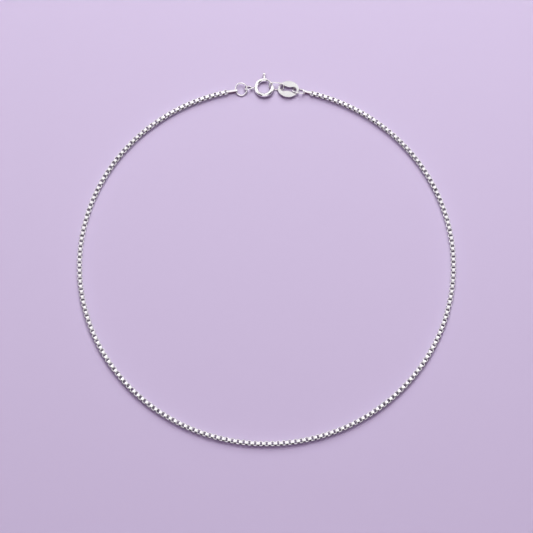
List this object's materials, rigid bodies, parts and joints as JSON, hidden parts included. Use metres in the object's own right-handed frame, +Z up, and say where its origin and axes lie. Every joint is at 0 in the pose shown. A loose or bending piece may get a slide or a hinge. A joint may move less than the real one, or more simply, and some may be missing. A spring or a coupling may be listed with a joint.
{
  "type": "chain anklet",
  "caption": "Thin box-chain anklet closed by a spring ring clasp and a small oval tag with an S-shaped opening.",
  "frame": {"origin": "bottom centre of the anklet's bounding box as it lies flat", "axes": "+Z up from the surface it lies on, +Y towards the clasp, +X along the clasp from eyelet to tag"},
  "size_m": [0.0902, 0.0936, 0.0016],
  "materials": {
    "chain_silver": "polished silver",
    "clasp_silver": "polished silver",
    "tag_silver": "polished silver with fine wear"
  },
  "bodies": {
    "anklet": {"chain": "chain_silver", "left_end_tab": "chain_silver", "right_end_tab": "chain_silver", "jump_ring": "clasp_silver", "spring_ring": "clasp_silver", "clasp_link": "clasp_silver", "tag": "tag_silver", "tag_link": "clasp_silver"},
    "latch": {"latch": "clasp_silver"}
  },
  "joints": [
    {"name": "latch_slide_round", "type": "hinge", "parent": "anklet", "child": "latch", "pos_m": [-0.00056, 0.04291, 0.00069], "axis": [-0.1028, 0, 0.9947], "range_deg": [0, 60], "stiffness_Nm_per_rad": 0.002}
  ]
}
